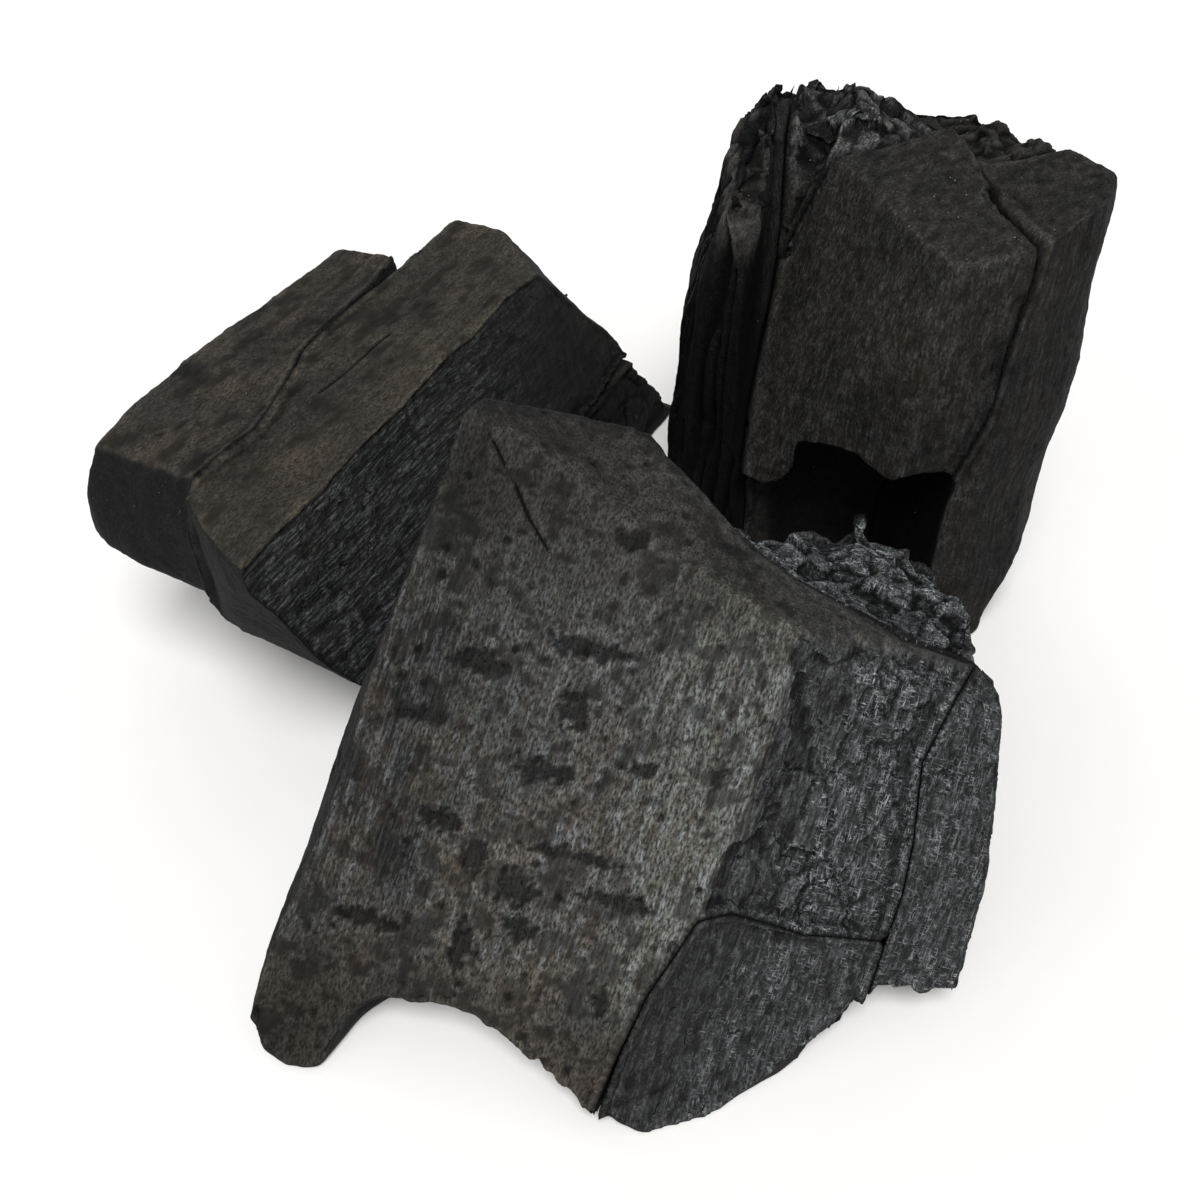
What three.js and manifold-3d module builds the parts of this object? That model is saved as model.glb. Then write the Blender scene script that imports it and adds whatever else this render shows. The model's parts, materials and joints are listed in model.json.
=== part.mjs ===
// A heap of hardwood lump charcoal: a long lump lying down, a tall lump standing on its end grain and a
// broad lump leaning back between them. Millimetres, +Z up, +X to the right of the heap, +Y to its back.
//
// Each lump is one piece of charred wood that drying cracks divide into sections. A section is one mesh,
// and the crack beside it is a real gap. Every lump is worked out in a frame of its own: a prism of the
// lump's outline, trimmed by flat facets, split by crack blades and then made uneven by a smooth field.
import * as THREE from 'three';
import { TessellateModifier } from 'three/addons/modifiers/TessellateModifier.js';
import { mergeVertices } from 'three/addons/utils/BufferGeometryUtils.js';
import Module from 'manifold-3d';

const wasm = await Module();
wasm.setup();

// ---------- driving dimensions ----------

const HAIRLINE = 0.7; // the narrowest crack
const FACET_REACH = 400; // how far a trimming block reaches past the lump
const MESH_EDGE = 11; // longest triangle edge on the broken faces
const FLOOR_EASE = 5; // unevenness fades out over this height above the floor

const LYING = {
  yaw: 62.1, // degrees from +X to the lump's grain
  corner: [-45.8, -13], // where the near end of its top arris stands over the floor
  height: 48,
  width: 40,
  topFall: 5, // how far the top face falls towards the back
  sideSpread: 9, // how far the foot of the side stands out from the arris
  layer: 16, // height of the crack over the lower slab
};

const STANDING = {
  height: 81,
  blockFoot: 33, // height of the hollow under the front block
  hollowBack: 36, // how far back that hollow goes
  wallStart: 49, // where the back wall begins
};

const LEANING = {
  foot: [0, -62.8, 4], // lower end of the arris between its two front faces
  yaw: -15.8,
  lean: 45,
  depth: 46,
  turn: 25, // degrees from the broad face to the turned face
};

// ---------- solids ----------

function solidOf(geometry) {
  const bare = geometry.index ? geometry.toNonIndexed() : geometry.clone();
  bare.deleteAttribute('normal');
  bare.deleteAttribute('uv');
  const merged = mergeVertices(bare, 1e-4);
  return new wasm.Manifold(
    new wasm.Mesh({
      numProp: 3,
      vertProperties: merged.attributes.position.array,
      triVerts: new Uint32Array(merged.index.array),
    }),
  );
}

function geometryOf(solid) {
  const mesh = solid.getMesh();
  const positions = new Float32Array(mesh.numVert * 3);
  for (let i = 0; i < mesh.numVert; i++) {
    const start = i * mesh.numProp;
    positions.set(mesh.vertProperties.subarray(start, start + 3), i * 3);
  }
  return new THREE.BufferGeometry()
    .setAttribute('position', new THREE.BufferAttribute(positions, 3))
    .setIndex(new THREE.BufferAttribute(new Uint32Array(mesh.triVerts), 1));
}

// A prism: the outline in the frame's own XY plane, run along its Z from low to high.
function prism(outline, low, high, frame = new THREE.Matrix4()) {
  const shape = new THREE.Shape(outline.map(([x, y]) => new THREE.Vector2(x, y)));
  const geometry = new THREE.ExtrudeGeometry(shape, { depth: high - low, bevelEnabled: false });
  geometry.translate(0, 0, low);
  return solidOf(geometry.applyMatrix4(frame));
}

// Frames that stand an outline up: drawn in X and Z and run along -Y, or in Y and Z and run along X.
const ELEVATION = new THREE.Matrix4().makeRotationX(Math.PI / 2);
const SIDE = new THREE.Matrix4().makeBasis(
  new THREE.Vector3(0, 1, 0),
  new THREE.Vector3(0, 0, 1),
  new THREE.Vector3(1, 0, 0),
);

// Everything on the far side, from the point `inside`, of the plane through three points.
function beyond([a, b, c], inside) {
  const plane = new THREE.Plane().setFromCoplanarPoints(
    new THREE.Vector3(...a),
    new THREE.Vector3(...b),
    new THREE.Vector3(...c),
  );
  if (plane.distanceToPoint(new THREE.Vector3(...inside)) > 0) plane.negate();
  const turn = new THREE.Quaternion().setFromUnitVectors(new THREE.Vector3(0, 0, 1), plane.normal);
  const block = new THREE.BoxGeometry(FACET_REACH, FACET_REACH, FACET_REACH);
  block.translate(0, 0, FACET_REACH / 2);
  block.applyQuaternion(turn);
  const start = new THREE.Vector3(...a);
  return solidOf(block.translate(start.x, start.y, start.z));
}

function trim(solid, facets, inside) {
  return facets.reduce((left, facet) => left.subtract(beyond(facet, inside)), solid);
}

// A crack's outline: a line of [x, y, width] stations, widened to both sides.
function crackOutline(stations) {
  const sideOf = (sign) =>
    stations.map(([x, y, width], i) => {
      const [x0, y0] = stations[Math.max(i - 1, 0)];
      const [x1, y1] = stations[Math.min(i + 1, stations.length - 1)];
      const run = new THREE.Vector2(x1 - x0, y1 - y0).normalize();
      return [x - (sign * run.y * width) / 2, y + (sign * run.x * width) / 2];
    });
  return [...sideOf(-1), ...sideOf(1).reverse()];
}

// The piece of a cut solid whose middle is nearest to a point.
function pieceNear(solid, point) {
  const target = new THREE.Vector3(...point);
  const middle = (piece) => {
    const { min, max } = piece.boundingBox();
    return new THREE.Vector3(...min).add(new THREE.Vector3(...max)).multiplyScalar(0.5);
  };
  const pieces = solid.decompose();
  return pieces.reduce((best, piece) =>
    middle(piece).distanceTo(target) < middle(best).distanceTo(target) ? piece : best,
  );
}

// ---------- unevenness ----------

// A smooth field of offsets. Waves run in several directions, longest along the grain.
const WAVES = [
  { length: 46, size: 0.9, run: [0.9, 0.3, 0.2], push: [0.2, 0.9, 0.3], phase: 0.4 },
  { length: 31, size: 0.7, run: [-0.3, 0.8, 0.5], push: [0.8, -0.1, 0.5], phase: 2.1 },
  { length: 23, size: 0.5, run: [0.4, -0.5, 0.8], push: [-0.5, 0.7, 0.2], phase: 4.4 },
  { length: 17, size: 0.35, run: [0.7, 0.6, -0.4], push: [0.1, 0.3, 0.9], phase: 1.3 },
];

function unevenAt(point) {
  const offset = new THREE.Vector3();
  for (const { length, size, run, push, phase } of WAVES) {
    const along = point.dot(new THREE.Vector3(...run).normalize());
    const wave = Math.sin((2 * Math.PI * along) / length + phase);
    offset.addScaledVector(new THREE.Vector3(...push).normalize(), size * wave);
  }
  return offset.multiplyScalar(THREE.MathUtils.smoothstep(point.z, 0.5, FLOOR_EASE));
}

// The solid as a mesh geometry in the heap's frame, with its faces divided and made uneven.
function brokenSurface(solid, frame) {
  const flat = geometryOf(solid).toNonIndexed().applyMatrix4(frame);
  const fine = mergeVertices(new TessellateModifier(MESH_EDGE, 12).modify(flat), 1e-3);
  const positions = fine.attributes.position;
  const point = new THREE.Vector3();
  for (let i = 0; i < positions.count; i++) {
    point.fromBufferAttribute(positions, i);
    point.add(unevenAt(point));
    positions.setXYZ(i, point.x, point.y, Math.max(point.z, 0));
  }
  fine.computeVertexNormals();
  return fine;
}

const charcoal = {
  weathered: new THREE.MeshStandardMaterial({ color: 0x3b3833, roughness: 0.85, metalness: 0 }),
  broken: new THREE.MeshStandardMaterial({ color: 0x232424, roughness: 0.7, metalness: 0 }),
  silvery: new THREE.MeshStandardMaterial({ color: 0x33363a, roughness: 0.5, metalness: 0.1 }),
};

// One lump: a group of the sections that cracks divide it into.
function lump(frame, sections) {
  const group = new THREE.Group();
  for (const [name, solid, material] of sections) {
    const mesh = new THREE.Mesh(brokenSurface(solid, frame), material);
    mesh.name = name;
    group.add(mesh);
  }
  return group;
}

// ---------- the lying lump ----------
// Its own frame: X along the grain, Y from the front arris to the back, Z up from the floor.

function lyingLump() {
  const { yaw, corner, height, width, topFall, sideSpread, layer } = LYING;
  const inside = [50, 15, 24];
  const back = height - topFall;

  // From above: a near end with a nose and a recess beside it, and a far end notched at the back strip.
  const plan = [
    [-4, -14], [-1, -1], [1, 5], [5, 11], [9, 16], [10, 22], [9, 29], [10, 35], [13, 41], [24, 46],
    [72, 46], [80, 38], [82, 29], [100, 24], [118, 10], [122, -14],
  ];
  // From the side: the near end is undercut and the far end spreads towards the floor.
  const profile = [
    [-2, height + 4], [-2, 46], [4, 32], [9, 22], [13, 15], [22, 6], [27, 0], [113, 0], [106, 12], [97, 27],
    [88, 46], [88, height + 4],
  ];
  const whole = trim(
    prism(plan, 0, height + 4).intersect(prism(profile, -60, 20, ELEVATION)),
    [
      [[0, 0, height], [80, 0, height], [40, width, back]], // top face
      [[0, 0, height], [80, 0, height], [40, -sideSpread, 0]], // side towards the leaning lump
      [[40, width, back], [90, width, back], [60, width + 3, 20]], // back
      [[40, width + 3, 18], [90, width + 3, 18], [60, width - 7, 0]], // back of the foot
      [[78, -1, 48], [87, 12, 46.5], [98, -6, 24]], // corner of the far end
    ],
    inside,
  );

  const layerBlade = prism(
    crackOutline([
      [-30, layer - 6, 1.2], [14, layer - 3, 0.9], [40, layer - 1, HAIRLINE], [78, layer + 1, 1],
      [94, layer + 3, 2], [140, layer + 5, 3.4],
    ]),
    -60, 60, ELEVATION,
  );
  const stripBlade = prism(
    crackOutline([
      [-30, 16, HAIRLINE], [26, 17.5, HAIRLINE], [48, 24.5, 1], [62, 24, 1.6], [74, 24.6, 3], [140, 30, 6],
    ]),
    0, 2 * height,
  );
  const upper = pieceNear(whole.subtract(layerBlade), [45, 18, 34]);
  const slab = pieceNear(whole.subtract(layerBlade), [65, 15, 8]);
  const block = pieceNear(upper.subtract(stripBlade), [45, 5, 30]);
  const strip = pieceNear(upper.subtract(stripBlade), [45, 36, 30]);
  const stripEnds = [
    [[15, 32, 44], [13.5, 21, 45.5], [9, 28, 33]], // bevel of the near end
    [[9.5, 35, 30], [11, 26, 26], [24, 33, 12]], // its undercut
    [[75.5, 26, 44], [77, 38, 43], [83, 28, 22]], // far end
  ];
  const slabEnd = [[15, 4, 17], [19, 34, 17], [28, 20, 0]];

  const frame = new THREE.Matrix4()
    .makeRotationZ(THREE.MathUtils.degToRad(yaw))
    .setPosition(corner[0], corner[1], 0);
  return lump(frame, [
    ['lying_lump_block', block, charcoal.weathered],
    ['lying_lump_back_strip', trim(strip, stripEnds, inside), charcoal.weathered],
    ['lying_lump_lower_slab', trim(slab, [slabEnd], inside), charcoal.broken],
  ]);
}

// ---------- the standing lump ----------
// The heap's own frame. The grain runs up.

function standingLump() {
  const { height, blockFoot, hollowBack, wallStart } = STANDING;
  const inside = [45, 45, 40];
  const plan = [
    [12, 61], [11.5, 50], [13.5, 40], [20, 33], [27, 29], [43.5, 18], [57.3, 19], [66.5, 25], [70, 32],
    [69, 41], [62, 53], [55, 61], [46, 67], [33, 70], [20, 68],
  ];
  const whole = trim(
    prism(plan, 0, height + 10),
    [
      [[12.2, 45, 47], [14.8, 65, 44], [20.5, 65, 69]], // left side leans in
      [[19.6, 55, 74], [25, 55, 81.5], [20.5, 65, 69.5]],
      [[43.5, 18, 34], [46.3, 18, 72], [57.2, 19, 76]], // front face leans out
      [[67, 25, 15], [62.5, 22.5, 1], [70, 40, 9]], // worn foot at the right
      [[20, 57, 85], [60, 57, 84], [40, 68, 76]], // back of the top
    ],
    inside,
  );

  // Cracks: beside the right slab, beside the splintered side, and in front of the back wall. The first is
  // open at the front and closed behind. The last turns forwards over the hollow under the front block.
  const slabFrame = new THREE.Matrix4()
    .makeTranslation(54, 19, 0)
    .multiply(new THREE.Matrix4().makeRotationZ(THREE.MathUtils.degToRad(14)))
    .multiply(new THREE.Matrix4().makeTranslation(-54, -19, 0))
    .multiply(ELEVATION);
  const slabCrack = [
    [58, 100, 3], [57, 76, 2.6], [55.6, 64, 1.3], [54.6, 50, 1.2], [53.4, 43, 1.6], [52, 33, HAIRLINE],
    [50, 16, HAIRLINE], [49, -10, HAIRLINE],
  ];
  const closedCrack = slabCrack.map(([x, z]) => [x, z, HAIRLINE]);
  const slabBlade = prism(crackOutline(slabCrack), -34, 10, slabFrame).add(
    prism(crackOutline(closedCrack), -100, -33, slabFrame),
  );
  const splinterBlade = prism(
    crackOutline([
      [21, 0, 1], [21.5, 31, 0.9], [25, 44, HAIRLINE], [28, 56, 1], [31, 68, 1.8], [32, 100, 2],
    ]),
    -10, height + 20,
  );
  const wallBlade = prism(
    crackOutline([
      [wallStart + 6, 120, 5], [wallStart, height - 5, 2.6], [wallStart - 1.5, 66, 1],
      [wallStart - 2, blockFoot + 1, 1], [hollowBack, blockFoot, 1.4],
      [hollowBack, -10, 0.9],
    ]),
    0, 100, SIDE,
  );

  const slabTop = [[57, 19, 76.5], [68.3, 27, 79.5], [60, 48, 77]];
  const slabBack = [[63, 43, 78], [56, 57, 77], [68, 53, 66]];
  const right = trim(pieceNear(whole.subtract(slabBlade), [64, 40, 39]), [slabTop, slabBack], [62, 40, 40]);
  const left = pieceNear(whole.subtract(slabBlade), [34, 45, 40]);
  const splinters = pieceNear(left.subtract(splinterBlade), [18, 50, 40]);
  const upperLeft = [[46.3, 18, 72], [34, 46, 74], [27, 29, 34]];
  const core = trim(pieceNear(left.subtract(splinterBlade), [40, 45, 40]), [upperLeft], inside);
  const front = pieceNear(core.subtract(wallBlade), [40, 33, 55]);
  const wall = pieceNear(core.subtract(wallBlade), [40, 55, 40]);

  // The front block is broken off below, but for a knob at its left, and its top slopes. The wall and the
  // splinters end in torn wood.
  const blockTop = [[46.3, 18, 72], [57.2, 19, 76], [40, 48, 74.5]];
  const hollow = prism(
    [
      [10, -10], [10, 31], [22.5, 27], [25, 24.6], [27.6, 26.2], [29.2, 30], [29.6, blockFoot + 2.5],
      [33, blockFoot + 3], [37, blockFoot + 2.8], [40.5, blockFoot + 1.4], [43, blockFoot + 0.4],
      [47, blockFoot + 2], [60, blockFoot + 3.5], [60, -10],
    ],
    -hollowBack - 0.3, 10, ELEVATION,
  );
  const tornWall = [
    [0, -5], [0, 72], [22, 77], [26, 78.5], [29, 76], [31.5, 75], [34, 78], [37, 80.5], [40.5, 79],
    [44, 76.5], [47, 75], [50, 74], [53, 77], [57, 76.5], [61, 73], [64, 67], [80, 60], [80, -5],
  ];
  const tornSide = [
    [24, -5], [24, 44], [33, 60], [38, 72], [42, 70], [47, 79], [51, 76], [54, 81], [57, 80],
    [60, 74], [64, 76], [68, 66], [80, 60], [80, -5],
  ];

  return lump(new THREE.Matrix4(), [
    ['standing_lump_front_block', trim(front, [blockTop], inside).subtract(hollow), charcoal.broken],
    ['standing_lump_right_slab', right, charcoal.broken],
    ['standing_lump_back_wall', wall.intersect(prism(tornWall, -100, 0, ELEVATION)), charcoal.broken],
    ['standing_lump_splintered_side', splinters.intersect(prism(tornSide, 0, 60, SIDE)), charcoal.broken],
  ]);
}

// ---------- the leaning lump ----------
// Its own frame: X across the broad face, Y up the face, Z out of the face towards the front.

function leaningLump() {
  const { foot, yaw, lean, depth, turn } = LEANING;
  const frame = new THREE.Matrix4()
    .makeTranslation(...foot)
    .multiply(new THREE.Matrix4().makeRotationZ(THREE.MathUtils.degToRad(yaw)))
    .multiply(new THREE.Matrix4().makeRotationX(THREE.MathUtils.degToRad(lean)));
  const unframe = frame.clone().invert();
  const own = (p) => new THREE.Vector3(...p).applyMatrix4(unframe).toArray();
  const inside = [-5, 40, -14];
  const turnDrop = (x) => -x * Math.tan(THREE.MathUtils.degToRad(turn));

  // The front section: a foot and a shallow arch at the lower left, a stepped edge at the lower right and a
  // crest that runs down to the right.
  const front = [
    [-47.4, -1], [-45, -4], [-40.5, -5.4], [-36.5, -4.4], [-34, 1.7], [-31.5, 4.2], [-22, 5.6],
    [-16.5, 4.8], [-9, 2.2], [-4, 0], [2.7, -2], [6.3, -2.8], [12, -0.4], [16, 3.5], [22.6, 8.3],
    [27.8, 14.3], [29.6, 18.5], [40.6, 20.5], [41, 33.4], [42.8, 42], [42.6, 47], [41.2, 55],
    [38.6, 60.8], [35, 62.2], [24.3, 64], [20.3, 65.7], [10.5, 70.2], [5, 73], [-2, 77.5],
    [-9.5, 81.2], [-16, 86.6], [-24, 87], [-31, 86], [-34.6, 82], [-37, 70], [-39.6, 60],
    [-42.8, 50], [-44.8, 40], [-46, 30], [-46.4, 21], [-46.4, 13.6], [-47.4, 6],
  ];
  // The torn section behind it stands up past the crest.
  const torn = [
    [-42, -30], [10, -30], [17, 6], [26, 18], [39, 25], [40, 47], [36.5, 60], [34.5, 66],
    [33.5, 71], [30, 72], [29, 75], [25.5, 75.5], [24.5, 79], [18.5, 78.5], [17, 81], [13, 77.5],
    [8, 79.5], [4, 76.5], [-3, 79], [-12, 77], [-24, 80], [-31, 77], [-38, 60], [-42, 40],
  ];
  const floor = [own([0, 0, 0]), own([1, 0, 0]), own([0, 1, 0])];
  const clearances = [
    [own([46, 14.5, 0]), own([20, 29.5, 0]), own([33, 21, 60])], // before the standing lump
    [own([46, 14, 0]), own([70, 13, 0]), own([58, 11, 50])],
    [own([-34.8, -18.8, 0]), own([2.6, 52, 0]), own([-41, -15, 48])], // beside the lying lump
  ];
  const facets = [
    [[0, 0, 0], [10, 0, 0], [0, 10, 0]], // broad face
    [[0, 0, 0], [12.7, 61.6, 0], [40, 20, turnDrop(37)]], // turned face
    [[-14.4, 85, 0], [12.7, 61.6, 0], [20.3, 66, -8]], // crest over the broad face
    [[12.7, 61.6, 0], [34, 62, -10], [22, 65.5, -8.2]], // crest over the turned face
    [[-37.6, 64, 0], [-46, 8, 0], [-45.8, 33, -8]], // bevel along the left side
    [[-31, 85, -1], [-18, 86, -1], [-24, 79, -32]], // top end
    [[-43, 40, -14], [-36, 78, -14], [-38, 45, -46]], // left side, further back
    [[41, 30, -20], [40, 50, -20], [38, 40, -46]], // right side, further back
    [[40, 58, -14], [33, 72, -24], [30, 70, -46]],
  ];
  const cut = (outline, low) => trim(prism(outline, low, 2), [...facets, floor, ...clearances], inside);

  const BEHIND = new THREE.Matrix4().makeRotationX(Math.PI / 2); // outlines in X and Z, run along Y
  const backBlade = prism(
    crackOutline([
      [-80, -32, 0.9], [-44, -27, 0.9], [-20, -21, HAIRLINE], [0, -14, 0.9], [20, -13, 1.2],
      [32, -17, 1], [44, -23, 0.9], [80, -42, 0.9],
    ]),
    -140, 60, BEHIND,
  );
  const grooveBlade = prism(
    crackOutline([
      [36, 90, 1.2], [34.6, 62, 1.1], [30.6, 50, 1], [30.3, 40, HAIRLINE], [29.2, 26, 1],
      [29, -20, 1.4],
    ]),
    -80, 20,
  );
  const wedgeBlade = prism(
    crackOutline([
      [-1, -20, 1.6], [0, 0, 1.4], [2.6, 15, 1], [6.4, 25, 0.8], [10, 26.5, HAIRLINE], [19, 24.5, HAIRLINE],
      [34, 28, HAIRLINE],
    ]),
    -80, 20,
  );
  const slab = pieceNear(cut(front, -depth).subtract(backBlade), [-3, 40, -10]);
  const edge = pieceNear(slab.subtract(grooveBlade), [36, 40, -16]);
  const rest = pieceNear(slab.subtract(grooveBlade), [-8, 40, -10]);
  const wedge = pieceNear(rest.subtract(wedgeBlade), [16, 12, -10]);
  const main = pieceNear(rest.subtract(wedgeBlade), [-8, 40, -10]);
  const tornEnd = [[0, 74.5, -13], [30, 64, -14], [15, 79.5, -29]];
  const back = pieceNear(cut(torn, -depth).subtract(backBlade), [0, 45, -34]);

  return lump(frame, [
    ['leaning_lump_main_slab', main, charcoal.weathered],
    ['leaning_lump_corner_wedge', wedge, charcoal.silvery],
    ['leaning_lump_edge_slab', edge, charcoal.silvery],
    ['leaning_lump_torn_back', trim(back, [tornEnd], inside), charcoal.silvery],
  ]);
}

const heap = new THREE.Group();
heap.add(lyingLump(), standingLump(), leaningLump());

// The origin stands on the floor under the middle of the heap.
const bounds = new THREE.Box3().setFromObject(heap);
const middle = bounds.getCenter(new THREE.Vector3());
heap.position.set(-middle.x, -middle.y, -bounds.min.z);

export default heap;
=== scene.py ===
"""A heap of hardwood lump charcoal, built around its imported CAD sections."""

import json
import math

import bmesh
import bpy
import numpy as np
from mathutils import Matrix, Vector
from mathutils.bvhtree import BVHTree

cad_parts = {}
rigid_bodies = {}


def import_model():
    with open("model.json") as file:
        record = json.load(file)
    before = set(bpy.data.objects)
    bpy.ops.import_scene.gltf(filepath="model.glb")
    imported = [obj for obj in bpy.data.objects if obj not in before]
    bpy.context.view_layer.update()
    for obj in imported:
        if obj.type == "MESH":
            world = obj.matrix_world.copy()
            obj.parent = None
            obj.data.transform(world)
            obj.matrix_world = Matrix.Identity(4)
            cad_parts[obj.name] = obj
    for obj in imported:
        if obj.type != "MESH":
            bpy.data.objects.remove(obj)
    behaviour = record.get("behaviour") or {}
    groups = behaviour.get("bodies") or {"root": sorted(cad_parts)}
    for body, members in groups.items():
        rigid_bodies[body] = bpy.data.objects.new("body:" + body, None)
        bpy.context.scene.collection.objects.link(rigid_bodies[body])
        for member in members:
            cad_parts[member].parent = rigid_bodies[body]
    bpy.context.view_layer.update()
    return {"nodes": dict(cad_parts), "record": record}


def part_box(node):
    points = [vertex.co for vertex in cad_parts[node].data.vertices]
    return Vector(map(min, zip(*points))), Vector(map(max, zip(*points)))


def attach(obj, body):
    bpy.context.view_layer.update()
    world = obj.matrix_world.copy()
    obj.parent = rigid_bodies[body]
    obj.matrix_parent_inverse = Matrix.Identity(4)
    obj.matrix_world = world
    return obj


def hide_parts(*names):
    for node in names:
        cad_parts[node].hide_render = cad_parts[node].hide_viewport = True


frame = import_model()

bl_info = {
    "name": "Lump charcoal heap",
    "version": (1, 0, 0),
    "blender": (4, 5, 0),
    "location": "3D View > Sidebar > Charcoal",
    "description": "Builds a heap of weathered, split and torn hardwood charcoal lumps",
    "category": "Object",
}

MM = 0.001
REACH = 4.0  # how far from a crack a section still feels it, in mm
HAIR = 0.08  # width that a closed crack keeps, in mm


def linear(code):
    """An sRGB hex colour as linear red, green and blue."""
    channels = [int(code[i : i + 2], 16) / 255 for i in (1, 3, 5)]
    return tuple(c / 12.92 if c <= 0.04045 else ((c + 0.055) / 1.055) ** 2.4 for c in channels)


# ---------- sizes and colours that a user would change ----------


def colour(name, description, code):
    return bpy.props.FloatVectorProperty(
        name=name, description=description, subtype="COLOR", size=3, min=0, max=1, default=linear(code)
    )


def length(name, description, millimetres, low, high):
    return bpy.props.FloatProperty(
        name=name,
        description=description,
        default=millimetres * MM,
        min=low * MM,
        max=high * MM,
        unit="LENGTH",
        precision=5,
    )


class CharcoalFinish(bpy.types.PropertyGroup):
    """Colours of the charred wood; the silvery and the sooty ones also carry painted sheen and painted
    shade.
    """

    ash: colour("Ash film", "Brownish grey film on wood that burned in the open", "#484743")
    rust: colour("Warm film", "Brown film where the wood browned before it charred", "#4B443B")
    olive: colour("Tarry film", "Olive film where wood tar dried", "#54523F")
    # Partly the grey of bare split fibres, partly their sheen and glints painted into the colour.
    silver: colour("Silvery char", "Bare fibres, split along the grain", "#74797B")
    carbon: colour("Carbon", "Matt broken charcoal", "#242424")
    brown: colour("Brown char", "Charcoal that still holds some tar", "#2E2924")
    # Also painted shade: on the shaded left sides, in the cave under the standing block, in the seams and
    # between torn blocks.
    soot: colour("Soot", "Dark smudges and the insides of cracks", "#0C0C0D")
    dust: colour("Dust", "Specks of ash dust", "#77766F")


class CharcoalSizes(bpy.types.PropertyGroup):
    """Sizes of what the fire left on the wood."""

    step: length("Skin detail", "Edge length of the skins' mesh", 0.5, 0.3, 2)
    ridge: length("Fibre ridge", "Depth of the fibre ridges", 0.22, 0, 1)
    chip: length("Chip", "Depth of the chipped facets on broken faces", 0.6, 0, 2)
    tear: length("Tear", "Depth of the torn ends", 3.0, 0, 5)
    crumb: length("Crumb", "Mean size of the loose crumbs", 1.0, 0.2, 3)
    fleck: length("Fleck", "Mean size of the dust flecks", 0.16, 0.1, 1)


# ---------- how each lump's wood runs ----------


class Lump:
    """A lump's own frame in millimetres: across its main face, up it and out of it.

    Its fibres run up the face, turned by slant degrees.
    """

    def __init__(self, origin, across, up, slant=0):
        self.origin = np.array(origin, float)
        across, up = Vector(across).normalized(), Vector(up).normalized()
        out = across.cross(up)
        self.axes = np.array([across, up, out], float)
        turn = Matrix.Rotation(math.radians(slant), 3, "Z")
        self.fibres = np.array(turn, float) @ self.axes

    def place(self, points):
        return (points - self.origin) @ self.axes.T

    def turned(self, directions):
        return directions @ self.axes.T

    def fibre_turn(self):
        """The rotation that takes object coordinates to coordinates along the fibres."""
        return Matrix(self.fibres.tolist()).to_euler()


YAW_LYING = math.radians(62.1)
YAW_LEANING = math.radians(-15.8)
LEAN = math.radians(45)
LUMPS = {
    "lying_lump": Lump(
        (-43.12, -27.62, 48.0),
        (math.sin(YAW_LYING), -math.cos(YAW_LYING), 0),
        (math.cos(YAW_LYING), math.sin(YAW_LYING), 0),
    ),
    "standing_lump": Lump((2.68, -14.62, 0.0), (1, 0, 0), (0, 0, 1), slant=2),
    "leaning_lump": Lump(
        (2.68, -77.42, 4.0),
        (math.cos(YAW_LEANING), math.sin(YAW_LEANING), 0),
        (
            -math.sin(YAW_LEANING) * math.cos(LEAN),
            math.cos(YAW_LEANING) * math.cos(LEAN),
            math.sin(LEAN),
        ),
        slant=7,
    ),
}


# ---------- noise ----------


def lattice(cell, seed):
    """A repeatable random number from 0 to 1 for each whole-numbered cell."""
    x, y, z = (cell[:, i].astype(np.int64) & 0xFFFF for i in range(3))
    h = (x * 73856093) ^ (y * 19349663) ^ (z * 83492791) ^ (seed * 2654435761)
    h = (h ^ (h >> 13)) & 0xFFFFFFFF
    h = (h * 1274126177) & 0xFFFFFFFF
    h = (h ^ (h >> 16)) & 0xFFFFFFFF
    h = (h * 2246822519) & 0xFFFFFFFF
    return ((h ^ (h >> 15)) & 0xFFFFFF) / float(0xFFFFFF)


def noise(points, seed):
    """Smooth value noise from 0 to 1 over unit cells."""
    low = np.floor(points)
    part = points - low
    ease = part * part * part * (part * (part * 6 - 15) + 10)
    total = np.zeros(len(points))
    for corner in np.ndindex(2, 2, 2):
        pick = np.array(corner)
        weight = np.prod(np.where(pick, ease, 1 - ease), axis=1)
        total += weight * lattice(low + pick, seed)
    return total


def layered(points, seed, octaves=3, gain=0.5):
    """Several octaves of noise, from 0 to 1."""
    total, size, most = np.zeros(len(points)), 1.0, 0.0
    for octave in range(octaves):
        total += size * noise(points * 2.03**octave + 17.3 * octave, seed + octave)
        most += size
        size *= gain
    return total / most


def cells(points, seed):
    """Distance to the nearest jittered seed, gap to the next one, and the nearest one's random number."""
    low = np.floor(points)
    nearest = np.full(len(points), 9.0)
    second = np.full(len(points), 9.0)
    number = np.zeros(len(points))
    for step in np.ndindex(3, 3, 3):
        cell = low + np.array(step) - 1
        jitter = np.stack([lattice(cell, seed + k) for k in range(3)], axis=1)
        away = np.linalg.norm(cell + jitter - points, axis=1)
        closer = away < nearest
        second = np.where(closer, nearest, np.minimum(second, away))
        number = np.where(closer, lattice(cell, seed + 7), number)
        nearest = np.where(closer, away, nearest)
    return nearest, second - nearest, number


def bricks(points, seed):
    """Staggered blocks of unit size: each one's random number, and how near its side is."""
    row = np.floor(points)
    row[:, 0] = row[:, 2] = 0
    shifted = points + np.stack([lattice(row, seed), 0 * points[:, 1], lattice(row, seed + 1)], axis=1)
    cell = np.floor(shifted)
    part = shifted - cell
    return lattice(cell, seed + 2), np.minimum(part, 1 - part).min(axis=1)


def ramp(values, low, high):
    """0 at low, 1 at high, smooth between. Low may be the larger."""
    t = np.clip((values - low) / (high - low), 0, 1)
    return t * t * (3 - 2 * t)


def mix(a, b, share):
    return a + (b - a) * share


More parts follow.
